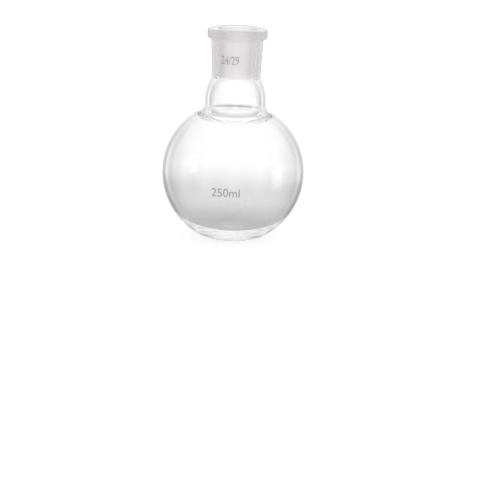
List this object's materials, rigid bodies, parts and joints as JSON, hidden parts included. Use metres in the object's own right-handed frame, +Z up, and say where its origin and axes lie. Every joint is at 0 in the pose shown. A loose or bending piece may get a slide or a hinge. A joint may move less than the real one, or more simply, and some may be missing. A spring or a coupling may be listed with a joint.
{
  "type": "single neck boiling flask",
  "caption": "Short-necked round boiling flask of clear borosilicate glass, with a ground taper socket, a beaded mouth and a small flat foot to stand on.",
  "frame": {"origin": "centre of the flat foot, on the surface the flask stands on", "axes": "+Z up along the flask's axis to the mouth; +X to the right of the printed marks, which face -Y"},
  "size_m": [0.087, 0.087, 0.1289],
  "materials": {
    "clear_glass": "clear, fire polished, ground matt inside the socket"
  },
  "bodies": {
    "root": {"flask": "clear_glass"}
  },
  "joints": []
}
